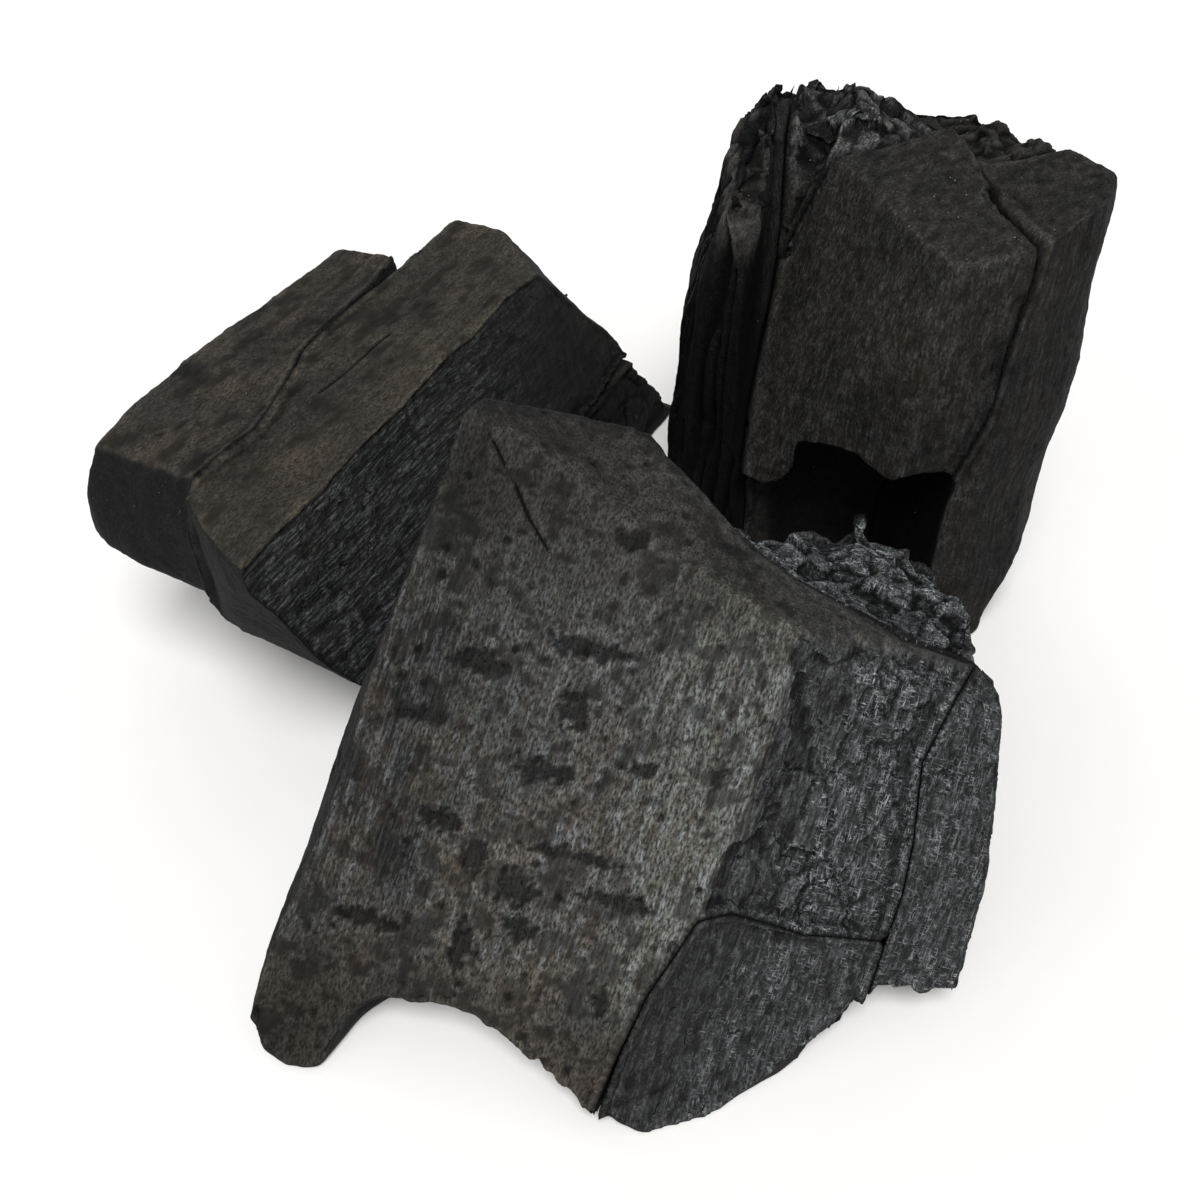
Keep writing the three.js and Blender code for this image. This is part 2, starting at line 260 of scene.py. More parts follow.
def along_path(places, path):
    """Signed distance in the face to a path of (x, y) points, positive to its right, and beyond its ends."""
    best = np.full(len(places), 1e3)
    side = np.ones(len(places))
    for (ax, ay), (bx, by) in zip(path, path[1:]):
        run = np.array([bx - ax, by - ay], float)
        size = np.hypot(*run)
        run /= size
        off = places[:, :2] - (ax, ay)
        t = np.clip(off @ run, 0, size)
        gap = off - t[:, None] * run
        away = np.hypot(gap[:, 0], gap[:, 1])
        nearer = away < best
        best = np.where(nearer, away, best)
        side = np.where(nearer, np.sign(off[:, 0] * run[1] - off[:, 1] * run[0] + 1e-9), side)
    return best * side


# ---------- skins ----------


class Skin:
    """A dense copy of one CAD section: points in millimetres, and masks for its material."""

    def __init__(self, body, node, step):
        self.body, self.node, self.lump = body, node, LUMPS[body]
        self.mesh = self.remeshed(step)
        edges = np.empty(len(self.mesh.edges) * 2, np.int32)
        self.mesh.edges.foreach_get("vertices", edges)
        self.edges = edges.reshape(-1, 2)
        self.neighbours = np.bincount(edges, minlength=len(self.mesh.vertices))
        points = np.empty(len(self.mesh.vertices) * 3, np.float32)
        self.mesh.vertices.foreach_get("co", points)
        self.points = points.reshape(-1, 3).astype(float) / MM
        self.gap, self.towards = self.nearest_sibling()
        self.masks = {}
        self.look()
        self.seam = ramp(self.gap, 3.9, 1.5) * ramp(np.sum(self.facing * self.towards, axis=1), 0.2, 0.7)

    def remeshed(self, step):
        mesh = frame["nodes"][self.node].data.copy()
        weld = bmesh.new()
        weld.from_mesh(mesh)
        bmesh.ops.remove_doubles(weld, verts=weld.verts, dist=2e-6)
        weld.to_mesh(mesh)
        weld.free()
        blank = bpy.data.objects.new(self.node + "_blank", mesh)
        bpy.context.scene.collection.objects.link(blank)
        even = blank.modifiers.new("Even skin", "REMESH")
        even.mode, even.voxel_size, even.adaptivity = "VOXEL", step, 0
        skin = bpy.data.meshes.new_from_object(
            blank.evaluated_get(bpy.context.evaluated_depsgraph_get())
        )
        bpy.data.objects.remove(blank)
        return skin

    def nearest_sibling(self):
        """How far off the lump's other sections are, up to a reach, and which way."""
        gap = np.full(len(self.points), REACH)
        towards = np.zeros((len(self.points), 3))
        for name, node in frame["nodes"].items():
            if name == self.node or not name.startswith(self.body):
                continue
            low, high = (np.array(corner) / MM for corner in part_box(name))
            close = np.all((self.points > low - REACH) & (self.points < high + REACH), axis=1)
            corners = [v.co for v in node.data.vertices]
            tree = BVHTree.FromPolygons(corners, [tuple(p.vertices) for p in node.data.polygons])
            for i in np.nonzero(close)[0]:
                found, _, _, away = tree.find_nearest(Vector(self.points[i] * MM), REACH * MM)
                if found is not None and away / MM < gap[i]:
                    gap[i] = away / MM
                    towards[i] = (np.array(found) / MM - self.points[i]) / max(gap[i], 1e-6)
        return gap, towards

    def averaged(self, values, rounds):
        """Values spread over the mesh by sharing with neighbours."""
        flat = values.ndim == 1
        values = values.astype(float)[:, None] if flat else values.astype(float)
        a, b = self.edges[:, 0], self.edges[:, 1]
        for _ in range(rounds):
            total = values.copy()
            for k in range(values.shape[1]):
                total[:, k] += np.bincount(a, values[b, k], len(values))
                total[:, k] += np.bincount(b, values[a, k], len(values))
            values = total / (self.neighbours + 1)[:, None]
        return values[:, 0] if flat else values

    def look(self):
        """Reads which way the shape faces as it is now."""
        self.mesh.vertices.foreach_set("co", (self.points * MM).astype(np.float32).ravel())
        self.mesh.update()
        normals = np.empty(len(self.points) * 3, np.float32)
        self.mesh.vertex_normals.foreach_get("vector", normals)
        self.normals = normals.reshape(-1, 3).astype(float)
        smooth = self.averaged(self.normals, 4)
        self.facing = smooth / np.maximum(np.linalg.norm(smooth, axis=1), 1e-6)[:, None]
        self.places = self.lump.place(self.points)
        self.grain = (self.points - self.lump.origin) @ self.lump.fibres.T
        self.out = self.lump.turned(self.facing)

    def bend(self, rounds=6):
        """How far each point lies below its surroundings, in millimetres: negative on edges."""
        return np.sum((self.averaged(self.points, rounds) - self.points) * self.facing, axis=1)

    def faces(self, normal, low=0.8, high=0.95):
        """1 where the skin faces along a direction in the lump's frame."""
        direction = np.array(normal, float)
        return ramp(self.out @ (direction / np.linalg.norm(direction)), low, high)

    def soften(self, rounds, share):
        """Rounds the edges, all over or by a share for each point."""
        spread = self.averaged(self.points, rounds)
        self.points = mix(self.points, spread, np.reshape(share, (-1, 1)))
        self.look()

    def wear_down(self, proud, share):
        """Wears away what stands out thinly by more than a height in millimetres."""
        for _ in range(3):
            thin = share * ramp(-self.bend(12), proud, 2 * proud)
            self.points = mix(self.points, self.averaged(self.points, 30), thin[:, None])
            self.look()

    def close_seams(self, most):
        """Narrows the cracks inside the lump by up to a width, and leaves hairlines."""
        push = 0.5 * np.clip(self.gap - HAIR, 0, most) * ramp(self.gap, REACH, 2.6) * self.seam
        self.points += self.towards * push[:, None]
        self.look()

    def sink(self, depth):
        """Moves the surface inwards by a depth in millimetres, but not in the seams or on the floor."""
        free = ramp(self.points[:, 2], 0.2, 2.5) * (1 - self.seam) * (0.4 + 0.6 * ramp(self.gap, 0.4, 2))
        self.points -= self.facing * (np.maximum(depth, 0) * free)[:, None]
        self.look()

    def shorten(self, depth, way=1):
        """Moves the upper (1) or lower (-1) ends of the fibres back along the grain, in millimetres."""
        free = ramp(self.points[:, 2], 0.2, 2.5) * (1 - self.seam)
        ends = ramp(way * self.facing @ self.lump.fibres[1], 0.05, 0.5)
        self.points -= way * self.lump.fibres[1] * (np.maximum(depth, 0) * free * ends)[:, None]
        self.look()

    def fibre_noise(self, across, along, seed, octaves=2, gain=0.5):
        """Noise stretched along the fibres, with its cell sizes in millimetres."""
        return layered(self.grain / (across, along, across), seed, octaves, gain)

    def finish(self, slot, material):
        """The skin as a finished piece that stands for its CAD section."""
        self.points[:, 2] = np.maximum(self.points[:, 2], 0)
        self.look()
        # Painted shade: how deep each point lies in a hollow, which darkens hollows and lightens edges in
        # the colour.
        self.masks["hollow"] = np.clip(self.bend(8) / 0.25, -1, 1)
        for loose in ("dust", "shed"):
            self.masks[loose] = self.masks[loose] * ramp(self.normals[:, 2], -0.1, 0.6)
        for name, values in self.masks.items():
            layer = self.mesh.attributes.new(name, "FLOAT", "POINT")
            layer.data.foreach_set("value", values.astype(np.float32))
        self.mesh.materials.clear()
        self.mesh.materials.append(material)
        self.mesh.shade_smooth()
        piece = bpy.data.objects.new(self.node + "_char", self.mesh)
        bpy.context.scene.collection.objects.link(piece)
        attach(piece, self.body)
        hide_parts(self.node)
        return piece


# ---------- finishes ----------

# Each pattern's darkest and brightest noise level, then its cells in millimetres, across and along the
# fibres. A pattern of two takes the brighter of both.
PATTERNS = {
    "grit": (0.3, 0.7, [(0.24, 0.24)]),  # cell walls, drawn at twice their size to show
    "speckle": (0.36, 0.64, [(0.3, 0.7)]),  # film caught on the fibre ends
    "streak": (0.34, 0.66, [(0.45, 4.5)]),  # bundles of fibres
    "hatch": (0.53, 0.72, [(0.22, 1.5), (0.8, 0.24)]),  # fibres and the rays that cross them
    "patch": (0.34, 0.66, [(1.5, 2.6)]),  # where the film wore through
    "cloud": (0.34, 0.66, [(8.0, 13.0)]),  # uneven burning
}

# How tall each pattern stands where relief is 1.
RELIEFS = {"grit": 0.04, "speckle": 0.05, "streak": 0.06, "hatch": 0.04, "patch": 0.12}

# Each finish over the carbon, in order: colour, mask, the pattern that breaks its edge and how far,
# the pattern of its tone with the darkest and the lightest, and roughness.
COATS = [
    ("brown", "brown", "cloud", 0.8, "grit", 0.6, 1.4, 0.85),
    ("ash", "ash", "patch", 0.7, "speckle", 0.35, 1.6, 0.8),
    ("rust", "rust", "cloud", 1.0, "speckle", 0.4, 1.7, 0.8),
    ("olive", "olive", "streak", 0.9, "speckle", 0.45, 1.6, 0.75),
    # Bare fibres: their grey partly real, partly painted sheen and glints in bright hatched flecks and
    # streaks.
    ("silver", "silver", "patch", 1.1, "hatch", 0.03, 2.1, 0.5),
    ("silver", "streaks", "streak", 1.1, "speckle", 0.1, 1.5, 0.55),
    # Smudges, plus painted shade on shaded sides, in the cave, in seams and between torn blocks.
    ("soot", "soot", "speckle", 0.6, "grit", 0.7, 1.6, 0.9),
]


def add(tree, kind, inputs=(), **settings):
    """Adds a node with its settings, and sets or links its inputs."""
    node = tree.nodes.new(kind)
    for name, value in settings.items():
        setattr(node, name, value)
    for key, value in dict(inputs).items():
        if isinstance(value, bpy.types.NodeSocket):
            tree.links.new(value, node.inputs[key])
        else:
            node.inputs[key].default_value = value
    return node


def charred_wood(name, lump, gloss, relief=1.0):
    """Hardwood charcoal: dull carbon under ash, tar, sooty smudges and bare silvery fibres, as its masks
    say, with painted shade and a painted silvery sheen in its colour.

    The patterns run along the lump's fibres. Gloss is the specular level of the bare carbon.
    """
    finish = bpy.context.scene.charcoal_finish
    material = bpy.data.materials.new(name)
    material.use_nodes = True
    tree = material.node_tree
    tree.nodes.clear()
    spot = add(tree, "ShaderNodeTexCoord").outputs["Object"]
    turned = {"Vector": spot, "Rotation": lump.fibre_turn(), "Scale": (1 / MM,) * 3}
    grain = add(tree, "ShaderNodeMapping", turned).outputs[0]

    patterns = {}
    for label, (low, high, sizes) in PATTERNS.items():
        for across, along in sizes:
            stretch = {0: grain, 1: (1 / across, 1 / along, 1 / across)}
            stretched = add(tree, "ShaderNodeVectorMath", stretch, operation="MULTIPLY").outputs[0]
            level = add(
                tree,
                "ShaderNodeTexNoise",
                {"Vector": stretched, "Scale": 1, "Detail": 2.5, "Roughness": 0.6},
            ).outputs[0]
            if label in patterns:
                level = add(
                    tree, "ShaderNodeMath", {0: patterns[label], 1: level}, operation="MAXIMUM"
                ).outputs[0]
            patterns[label] = level
        level = add(tree, "ShaderNodeMapRange", {0: patterns[label], 1: low, 2: high})
        patterns[label] = level.outputs[0]

    # Painted glints: the bare carbon's colour is brightened in fine sandy flecks.
    painted_glints = add(tree, "ShaderNodeMath", {0: patterns["grit"], 1: 2.5}, operation="POWER").outputs[0]
    tone = add(tree, "ShaderNodeMapRange", {0: painted_glints, 3: 0.6, 4: 2.6}).outputs[0]
    colour = add(
        tree, "ShaderNodeVectorMath", {0: finish.carbon, "Scale": tone}, operation="SCALE"
    ).outputs[0]
    rough = 0.78
    for paint, mask, edge, reach, pattern, dark, light, roughness in COATS:
        share = add(tree, "ShaderNodeAttribute", attribute_name=mask).outputs["Fac"]
        broken = add(
            tree, "ShaderNodeMath", {0: patterns[edge], 1: reach, 2: -reach / 2}, operation="MULTIPLY_ADD"
        ).outputs[0]
        present = add(tree, "ShaderNodeMath", {0: share, 1: 5.0}, operation="MULTIPLY", use_clamp=True)
        broken = add(
            tree, "ShaderNodeMath", {0: broken, 1: present.outputs[0]}, operation="MULTIPLY"
        ).outputs[0]
        share = add(
            tree, "ShaderNodeMath", {0: share, 1: broken}, operation="ADD", use_clamp=True
        ).outputs[0]
        tone = add(
            tree, "ShaderNodeMapRange", {0: patterns[pattern], 3: dark, 4: light}
        ).outputs[0]
        tinted = add(
            tree, "ShaderNodeVectorMath", {0: getattr(finish, paint), "Scale": tone}, operation="SCALE"
        ).outputs[0]
        colour = add(tree, "ShaderNodeMix", {0: share, 6: colour, 7: tinted}, data_type="RGBA").outputs[2]
        rough = add(
            tree, "ShaderNodeMix", {0: share, 2: rough, 3: roughness}, data_type="FLOAT"
        ).outputs[0]

    # Large differences of tone from the shade mask, partly painted shade, then painted shade: darker in
    # hollows and along cracks and crazing, and lighter on edges.
    shade = add(tree, "ShaderNodeAttribute", attribute_name="shade").outputs["Fac"]
    shade = add(
        tree, "ShaderNodeMath", {0: patterns["cloud"], 1: 0.3, 2: shade}, operation="MULTIPLY_ADD"
    )
    shade = add(
        tree, "ShaderNodeMapRange", {0: shade.outputs[0], 1: -0.85, 2: 1.15, 3: 0.0, 4: 1.3}
    ).outputs[0]
    hollow = add(tree, "ShaderNodeAttribute", attribute_name="hollow").outputs["Fac"]
    hollow = add(tree, "ShaderNodeMapRange", {0: hollow, 1: -0.6, 2: 0.8, 3: 1.3, 4: 0.2}).outputs[0]
    crack = add(tree, "ShaderNodeAttribute", attribute_name="crack").outputs["Fac"]
    crack = add(tree, "ShaderNodeMath", {0: crack}, operation="ABSOLUTE").outputs[0]
    crack = add(tree, "ShaderNodeMapRange", {0: crack, 1: 0.05, 2: 0.2}).outputs[0]
    craze_at = add(
        tree, "ShaderNodeVectorMath", {0: grain, 1: (1 / 8, 1 / 13, 1 / 8)}, operation="MULTIPLY"
    ).outputs[0]
    wander = add(tree, "ShaderNodeTexNoise", {"Vector": craze_at, "Scale": 3.1, "Detail": 3})
    craze_at = add(
        tree,
        "ShaderNodeVectorMath",
        {0: wander.outputs["Color"], 1: (0.5, 0.5, 0.5), 2: craze_at},
        operation="MULTIPLY_ADD",
    ).outputs[0]
    craze = add(
        tree, "ShaderNodeTexVoronoi", {"Vector": craze_at, "Scale": 1}, feature="DISTANCE_TO_EDGE"
    ).outputs[0]
    crazed = add(tree, "ShaderNodeAttribute", attribute_name="craze").outputs["Fac"]
    crazed = add(
        tree, "ShaderNodeMath", {0: patterns["patch"], 1: 0.3, 2: crazed}, operation="MULTIPLY_ADD"
    ).outputs[0]
    crazed = add(tree, "ShaderNodeMapRange", {0: crazed, 1: 1.0, 2: 1.2, 3: -0.012, 4: 0.014}).outputs[0]
    craze = add(tree, "ShaderNodeMath", {0: craze, 1: crazed}, operation="SUBTRACT").outputs[0]
    craze = add(tree, "ShaderNodeMapRange", {0: craze, 1: -0.006, 2: 0.008}).outputs[0]
    lines = add(tree, "ShaderNodeMath", {0: crack, 1: craze}, operation="MULTIPLY").outputs[0]
    level = add(tree, "ShaderNodeMapRange", {0: lines, 3: 0.15, 4: 1}).outputs[0]
    for part in (shade, hollow):
        level = add(tree, "ShaderNodeMath", {0: level, 1: part}, operation="MULTIPLY").outputs[0]
    colour = add(tree, "ShaderNodeVectorMath", {0: colour, "Scale": level}, operation="SCALE").outputs[0]

    # Specks of ash dust that settled.
    dust_at = add(tree, "ShaderNodeTexVoronoi", {"Vector": grain, "Scale": 0.85})
    dusty = add(tree, "ShaderNodeAttribute", attribute_name="dust").outputs["Fac"]
    size = add(
        tree, "ShaderNodeMath", {0: dust_at.outputs["Color"], 1: 0.13}, operation="MULTIPLY"
    ).outputs[0]
    size = add(tree, "ShaderNodeMath", {0: size, 1: dusty}, operation="MULTIPLY").outputs[0]
    speck = add(
        tree, "ShaderNodeMath", {0: dust_at.outputs[0], 1: size}, operation="LESS_THAN"
    ).outputs[0]
    colour = add(
        tree, "ShaderNodeMix", {0: speck, 6: colour, 7: (*finish.dust, 1)}, data_type="RGBA"
    ).outputs[2]

    # Relief too fine for the mesh, in millimetres.
    height = 0.0
    for label, tall in RELIEFS.items():
        height = add(
            tree,
            "ShaderNodeMath",
            {0: patterns[label], 1: tall * relief, 2: height},
            operation="MULTIPLY_ADD",
        ).outputs[0]
    height = add(
        tree, "ShaderNodeMath", {0: lines, 1: 0.3, 2: height}, operation="MULTIPLY_ADD"
    ).outputs[0]
    bump = add(tree, "ShaderNodeBump", {"Height": height, "Distance": MM, "Strength": 1.0}).outputs[0]
    shader = add(
        tree,
        "ShaderNodeBsdfPrincipled",
        {
            "Base Color": colour,
            "Roughness": rough,
            "IOR": 1.5,
            "Specular IOR Level": gloss,
            "Normal": bump,
        },
    )
    add(tree, "ShaderNodeOutputMaterial", {"Surface": shader.outputs[0]})
    return material


# ---------- what the fire and the axe did ----------

MASKS = (
    "ash",
    "rust",
    "olive",
    "silver",
    "streaks",
    "brown",
    "soot",
    "shade",
    "dust",
    "craze",
    "crack",
    "shed",
    "fray",
)


def clean(skin):
    """Starts every mask, with no crack nearby, and painted shade in the seams between sections."""
    for name in MASKS:
        skin.masks[name] = np.zeros(len(skin.points))
    skin.masks["crack"] += 9
    skin.masks["shed"] += 0.08
    # Painted shade in the seams between a lump's sections.
    skin.masks["soot"] += 0.8 * ramp(skin.seam, 0.7, 1)


def weather(skin, rounding=5, swell=0.6, ridge=1.0, chip=0.0, pit=0.0, nick=0.5, close=0.9):
    """Worn and nicked edges, swells, fibre ridges, chipped facets and pits, but none in the seams.

    One seed serves the whole lump, so its faces run on across the seams.
    """
    sizes = bpy.context.scene.charcoal_sizes
    seed = 100 * list(LUMPS).index(skin.body)
    skin.close_seams(close)
    worn = 0.3 + 0.7 * skin.fibre_noise(6, 9, seed)
    away = ramp(skin.gap, 1.5, REACH)
    skin.soften(4, 0.1 + 0.9 * away)
    skin.soften(rounding, worn * away)
    edge = ramp(-skin.bend(), 0.04, 0.25)
    depth = nick * edge * ramp(layered(skin.grain / 2.4, seed + 9, 3), 0.5, 0.75)
    depth += swell * skin.fibre_noise(8, 24, seed + 1)
    ridges = np.abs(2 * skin.fibre_noise(1.5, 17, seed + 2) - 1)
    fine = skin.fibre_noise(0.9, 5, seed + 3, 1)
    depth += sizes.ridge / MM * ridge * (1.3 * ridges + 0.7 * fine)
    depth += 0.22 * layered(skin.grain / 1.3, seed + 8, 2)
    if chip:
        wander = 0.5 * skin.fibre_noise(3, 3, seed)[:, None]
        _, gap, number = cells(skin.grain / (6.5, 9, 6.5) + wander, seed + 4)
        depth += sizes.chip / MM * chip * (number + 0.35 * ramp(gap, 0.12, 0))
        depth += 0.35 * chip * layered(skin.grain / 2.2, seed + 5, 2)
    if pit:
        near, _, number = cells(skin.grain / 2.8, seed + 6)
        depth += pit * ramp(near, 0.32, 0.1) * ramp(number, 0.55, 0.75)
    skin.sink(depth)


def tear(skin, seed, share, width=3.4, tall=3.8, deep=1.0):
    """Breaks torn wood into crumbling blocks of fibres that end at different heights, with painted shade
    between the blocks and on the deepest-sunk ones.
    """
    sizes = bpy.context.scene.charcoal_sizes
    wander = (layered(skin.grain / 4, seed, 2) - 0.5)[:, None] * 0.8
    ends, _ = bricks(skin.grain / (width, 1e3, width) + wander, seed + 5)
    skin.shorten(sizes.tear / MM * deep * share * (0.6 * ends + 0.5 * skin.fibre_noise(6, 1e3, seed + 7)))
    skin.soften(3, 0.6 * share)
    block, side = bricks(skin.grain / (width, tall, width) + wander, seed + 1)
    fibre, split = bricks(skin.grain / (1.3, 2.7, 1.3) + wander, seed + 9)
    crushed = 1.9 * deep * block + 0.5 * fibre + 0.5 * ramp(side, 0.1, 0) + 0.25 * ramp(split, 0.15, 0)
    skin.sink(share * crushed)
    skin.wear_down(0.6, share)
    skin.soften(2, 0.6 * share)
    # Painted shade in the gaps between blocks and on the blocks sunk deepest.
    skin.masks["soot"] += share * (0.6 * ramp(side, 0.1, 0) + 0.6 * ramp(block, 0.5, 0.9))


def ragged_foot(skin, seed, deep):
    """Breaks the lower ends of the fibres off unevenly, in small steps."""
    wander = (layered(skin.grain / 3, seed, 2) - 0.5)[:, None] * 0.8
    step, _ = bricks(skin.grain / (3.1, 1e3, 3.1) + wander, seed + 1)
    skin.shorten(deep * (0.5 * step + 0.7 * skin.fibre_noise(6, 1e3, seed + 4)), -1)


def smudges(skin, seed, across, along, low, high):
    """Sooty smudges that are wider one way than the other."""
    stretched = skin.places / (across, along, across)
    return ramp(layered(stretched, seed, 4, 0.6), low, high)


def spots(skin, seed, marks):
    """Sooty marks at given places on the main face: x, y, half width and half height."""
    ragged = layered(skin.places / 1.2, seed, 4, 0.7) - 0.5
    worst = np.zeros(len(skin.points))
    for x, y, wide, high in marks:
        away = np.hypot((skin.places[:, 0] - x) / wide, (skin.places[:, 1] - y) / high)
        worst = np.maximum(worst, ramp(away + 2.6 * ragged, 1.25, 0.75))
    return worst


def slits(skin, paths, deep):
    """Cracks drawn on the main face, as far as a depth below it."""
    nearest = skin.masks["crack"]
    for path in paths:
        gap = along_path(skin.places, path)
        gap = np.where(skin.places[:, 2] > -deep, gap, 9)
        nearest = np.where(np.abs(gap) < np.abs(nearest), gap, nearest)
    skin.masks["crack"] = nearest
    skin.sink(0.25 * ramp(np.abs(nearest), 0.6, 0.1))


# ---------- the lying lump ----------


def lying_finish(skin, seed):
    """A soft brown film on top, cross-grained sides and sooty ends."""
    x, y = skin.places.T[:2]
    top = skin.faces((-0.12, 0, 1), 0.62, 0.9)
    side = skin.faces((1, 0, 0.1), 0.55, 0.9)
    end = skin.faces((0, -1, 0), 0.5, 0.8)
    front_band = ramp(x, -12, -7) * ramp(y, 66, 40)
    dark = smudges(skin, seed, 2.6, 4.5, 0.52, 0.66)
    skin.masks["ash"] += 0.6 * top
    skin.masks["rust"] += top * (0.42 + 0.1 * front_band)
    skin.masks["olive"] += top * 0.12 * ramp(x, -20, -10)
    skin.masks["brown"] += 0.8 * top + 0.1 * side
    skin.masks["soot"] += top * dark * (0.55 - 0.4 * front_band) + 0.3 * end
    skin.masks["streaks"] += 0.14 * side * ramp(y, 90, 30)
    skin.masks["shade"] -= 0.1 * top - 0.8 * side * ramp(y, 100, 50) + 0.4 * end
    skin.masks["craze"] += 0.9 * side + 0.4 * end
    skin.masks["dust"] += 0.3 * top + 0.6 * end + 0.4 * side
    return side


def lying_lump_block(skin):
    weather(skin, rounding=20, swell=0.9, ridge=0.5)
    side = lying_finish(skin, 120)
    rows = skin.fibre_noise(5, 1.1, 131, 2)
    skin.sink(side * (0.9 * layered(skin.grain / (4, 5.5, 4), 132, 3) + 0.3 * rows))
    slits(skin, [[(-14.5, 38), (-14.2, 47), (-13.6, 55)]], 5)


def lying_lump_back_strip(skin):
    weather(skin, rounding=30, swell=0.9, ridge=0.5)
    lying_finish(skin, 120)


def lying_lump_lower_slab(skin):
    weather(skin, rounding=16, swell=0.9, ridge=0.9, chip=1.0)
    lying_finish(skin, 120)
    skin.masks["shade"] -= 0.15


# ---------- the standing lump ----------


def standing_finish(skin):
    """Dark split faces with little film, a dusty top, and painted shade on the left side and in the cave
    under the block; the front a little lighter, the right a little darker.
    """
    x, y, z = skin.places.T
    top = skin.faces((0, 1, 0.1), 0.55, 0.85)
    left = skin.faces((-1, 0, -0.1), 0.86, 0.95)
    front = np.maximum(skin.faces((-0.55, 0.1, 0.85), 0.6, 0.9), skin.faces((-0.86, 0.32, 0.41), 0.8, 0.93))
    right = skin.faces((0.75, 0, 0.6), 0.7, 0.92)
    cave = ramp(y, 37, 33) * ramp(x, 26, 30) * ramp(z, -34, -35.5) * ramp(x, 53, 50)
    inner = ramp(y, 36, 32) * skin.faces((-1, 0, 0), 0.3, 0.6) * ramp(x, 38, 42) * ramp(x, 60, 56)
    cave = np.maximum(cave, inner)
    skin.masks["ash"] += 0.34 * top + 0.16 * front
    skin.masks["brown"] += 0.7 * front + 0.3 * right + 0.3 * top
    # Painted shade on the left side and in the cave.
    skin.masks["soot"] += 0.9 * left + cave
    skin.masks["streaks"] += 0.06 * front + 0.05 * right
    # Painted shade again on the left side and in the cave; the front a little lighter, the right a little
    # darker.
    skin.masks["shade"] += 0.1 * front - 0.1 * right - 0.6 * left - 0.7 * cave
    skin.masks["dust"] += 0.8 * top + 0.7 * front + 0.7 * right + 0.2 * left


def standing_lump_front_block(skin):
    weather(skin, rounding=6, swell=0.5, ridge=0.5, chip=0.25, close=2.6)
    standing_finish(skin)


def standing_lump_right_slab(skin):
    weather(skin, rounding=12, swell=0.6, ridge=0.6, chip=0.3, close=2.6)
    y, z = skin.places.T[1:]
    tear(skin, 245, ramp(y, 68, 73) * ramp(z, -39, -43), 3.2, 5, 0.7)
    standing_finish(skin)


def standing_lump_back_wall(skin):
    weather(skin, rounding=4, swell=0.6, ridge=1.0, chip=0.5, close=1.6)
    y = skin.places[:, 1]
    torn = ramp(y, 64, 71)
    tear(skin, 270, torn, 3.4, 7)
    standing_finish(skin)
    skin.masks["streaks"] += 0.16 * torn
    skin.masks["shade"] += 0.8 * torn
    skin.masks["fray"] += 0.25 * torn
    skin.masks["shed"] += 0.3 * torn


def standing_lump_splintered_side(skin):
    weather(skin, rounding=5, swell=0.6, ridge=1.2, chip=0.3, close=1.6)
    x, y = skin.places.T[:2]
    left = skin.faces((-1, 0, 0.1), 0.5, 0.8)
    grooves = np.abs(2 * skin.fibre_noise(2.6, 45, 300) - 1)
    skin.sink(1.5 * ramp(grooves, 0.35, 0.0) * (0.12 + 0.88 * left))
    tear(skin, 310, 0.8 * ramp(y, 66, 75), 2.6, 9)
    standing_finish(skin)
    # Painted shade: the left corner is darkened in the colour.
    corner = ramp(x, 26, 22) * ramp(y, 68, 60)
    skin.masks["soot"] += 0.8 * corner
    skin.masks["shade"] += 0.6 * ramp(y, 55, 68) - 0.7 * corner
    skin.masks["fray"] += 0.35 * ramp(y, 66, 74)
    skin.masks["shed"] += 0.2 * ramp(y, 66, 74)


# ---------- the leaning lump ----------

# In the lump's frame: the arris between its faces, the inner edge of its crest, and marks on the broad face.
ARRIS = [(0, -10), (0, 0), (3, 16.7), (6.4, 25), (10.1, 37.6), (11.5, 49.1), (12.7, 61.6), (13, 75)]
CREST = [(-14, 95), (-13, 86), (-9, 80.5), (-3.7, 75.7), (6.6, 67.8), (12.7, 61.6), (33.8, 61.6), (50, 63)]
BROAD_SLITS = [
    [(-19.4, 81.4), (-18.4, 79.6), (-17.2, 78.3)],
    [(-25.7, 73.4), (-23.4, 69.9), (-20.5, 66.7)],
    [(-29.6, 78.3), (-27.8, 76)],
]
BROAD_MARKS = [
    (-13, 55.5, 5.2, 1.3),
    (-25, 51, 4, 1.3),
    (-15.3, 39.2, 4.6, 1.3),
    (-12.8, 47.6, 1.6, 2.2),
    (-16, 24.3, 3, 2.1),
    (-9, 29.9, 6.3, 0.8),
    (-3.4, 25.6, 4.2, 1.0),
    (6.3, 43, 1.5, 1.8),
    (-32, 43, 3.5, 1.1),
    (-34, 15.9, 4.4, 0.9),
    (-21.5, 15.5, 1.4, 3),
    (-14.2, 19.4, 2.2, 1.6),
    (-10, 69.5, 1.8, 1.6),
    (-3.3, 42.1, 2.4, 1.0),
    (-27, 30.6, 2.6, 1.2),
    (-22, 26.5, 2.2, 2.0),
    (-2.7, 13.4, 1.0, 2.2),
]


